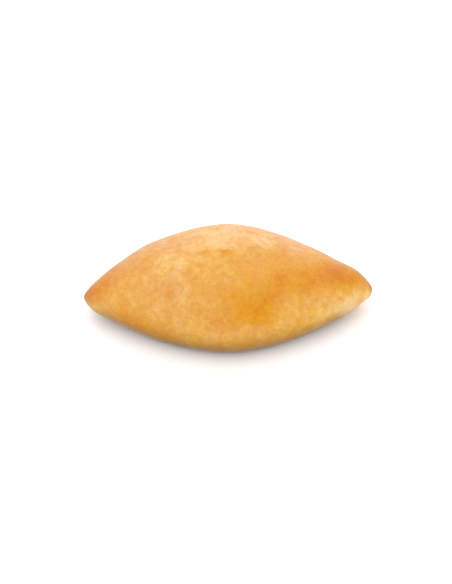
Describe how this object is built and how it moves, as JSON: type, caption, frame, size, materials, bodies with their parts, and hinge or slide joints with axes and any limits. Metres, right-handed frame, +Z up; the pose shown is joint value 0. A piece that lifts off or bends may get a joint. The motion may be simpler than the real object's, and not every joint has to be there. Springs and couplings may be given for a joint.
{
  "type": "brioche roll",
  "caption": "Plain spindle-shaped brioche roll: a domed crown that runs out to a blunt point at each end, over a flat baked base.",
  "frame": {"origin": "middle of the base of the roll's box, on the surface it rests on", "axes": "+X along the roll to its right point as seen from the front, -Y to the front, +Z up"},
  "size_m": [0.11, 0.055, 0.0338],
  "materials": {
    "crust": "golden baked crust with a soft satin shine, browner on top of both points and in a streak down the front, paler on the crown and under the points"
  },
  "bodies": {
    "root": {"roll": "crust"}
  },
  "joints": []
}
